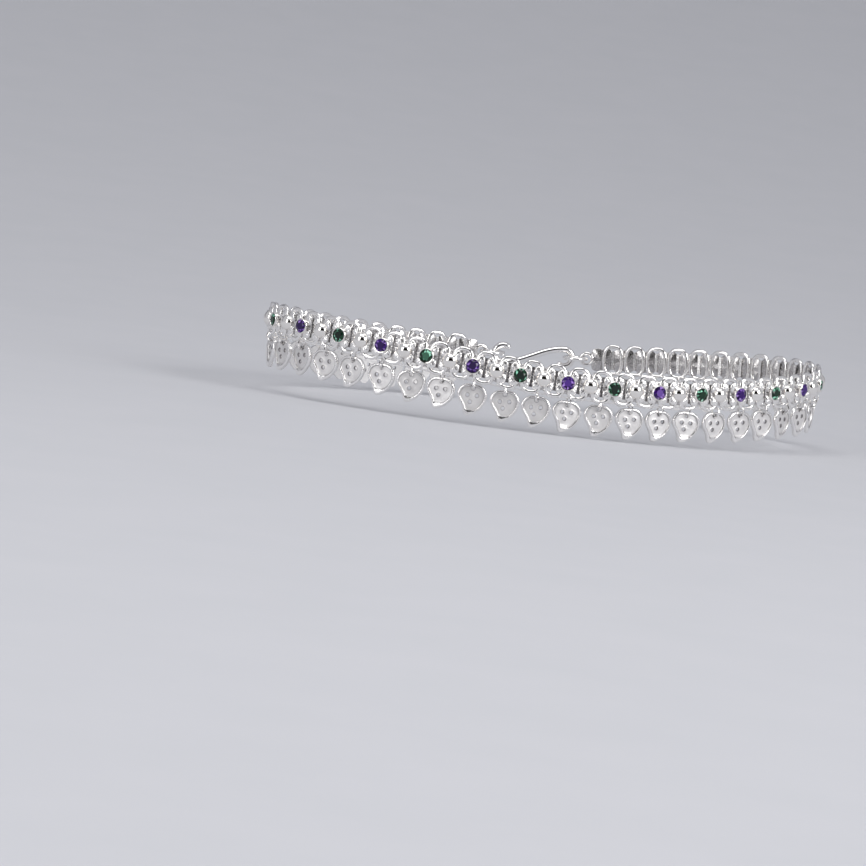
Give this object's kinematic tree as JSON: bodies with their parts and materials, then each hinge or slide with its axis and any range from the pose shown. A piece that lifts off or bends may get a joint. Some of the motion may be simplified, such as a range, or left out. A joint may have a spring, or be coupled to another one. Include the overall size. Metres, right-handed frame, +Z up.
{
  "type": "payal anklet",
  "caption": "Silver payal anklet: a flat band of small lobed plates with domed and stone settings, hung with pierced leaf drops on jump rings, closed by an S-hook.",
  "frame": {"origin": "the middle of the loop, at the height of the band's mean centre line, where the ankle's axis passes through", "axes": "+Z up along the leg, +X towards the heel, -X towards the toes, -Y the outer side of the ankle, +Y the side with the clasp"},
  "size_m": [0.1044, 0.0647, 0.0155],
  "materials": {
    "band_silver": "stamped and lightly engraved bright silver",
    "drop_silver": "bright silver rim round a matt recessed face",
    "clasp_silver": "plain polished silver wire"
  },
  "bodies": {
    "root": {"band_section_01": "band_silver", "band_section_02": "band_silver", "band_section_03": "band_silver", "band_section_04": "band_silver", "band_section_05": "band_silver", "band_section_06": "band_silver", "band_section_07": "band_silver", "band_section_08": "band_silver", "band_section_09": "band_silver", "band_section_10": "band_silver", "band_section_11": "band_silver", "band_section_12": "band_silver", "band_section_13": "band_silver", "band_section_14": "band_silver", "leaf_drop_01": "drop_silver", "leaf_drop_02": "drop_silver", "leaf_drop_03": "drop_silver", "leaf_drop_04": "drop_silver", "leaf_drop_05": "drop_silver", "leaf_drop_06": "drop_silver", "leaf_drop_07": "drop_silver", "leaf_drop_08": "drop_silver", "leaf_drop_09": "drop_silver", "leaf_drop_10": "drop_silver", "leaf_drop_11": "drop_silver", "leaf_drop_12": "drop_silver", "leaf_drop_13": "drop_silver", "leaf_drop_14": "drop_silver", "leaf_drop_15": "drop_silver", "leaf_drop_16": "drop_silver", "leaf_drop_17": "drop_silver", "leaf_drop_18": "drop_silver", "leaf_drop_19": "drop_silver", "leaf_drop_20": "drop_silver", "leaf_drop_21": "drop_silver", "leaf_drop_22": "drop_silver", "leaf_drop_23": "drop_silver", "leaf_drop_24": "drop_silver", "leaf_drop_25": "drop_silver", "leaf_drop_26": "drop_silver", "leaf_drop_27": "drop_silver", "leaf_drop_28": "drop_silver", "leaf_drop_29": "drop_silver", "leaf_drop_30": "drop_silver", "leaf_drop_31": "drop_silver", "leaf_drop_32": "drop_silver", "leaf_drop_33": "drop_silver", "leaf_drop_34": "drop_silver", "leaf_drop_35": "drop_silver", "leaf_drop_36": "drop_silver", "leaf_drop_37": "drop_silver", "leaf_drop_38": "drop_silver", "leaf_drop_39": "drop_silver", "leaf_drop_40": "drop_silver", "end_ring_1": "clasp_silver", "end_ring_2": "clasp_silver", "clasp_hook": "clasp_silver"}
  },
  "joints": []
}
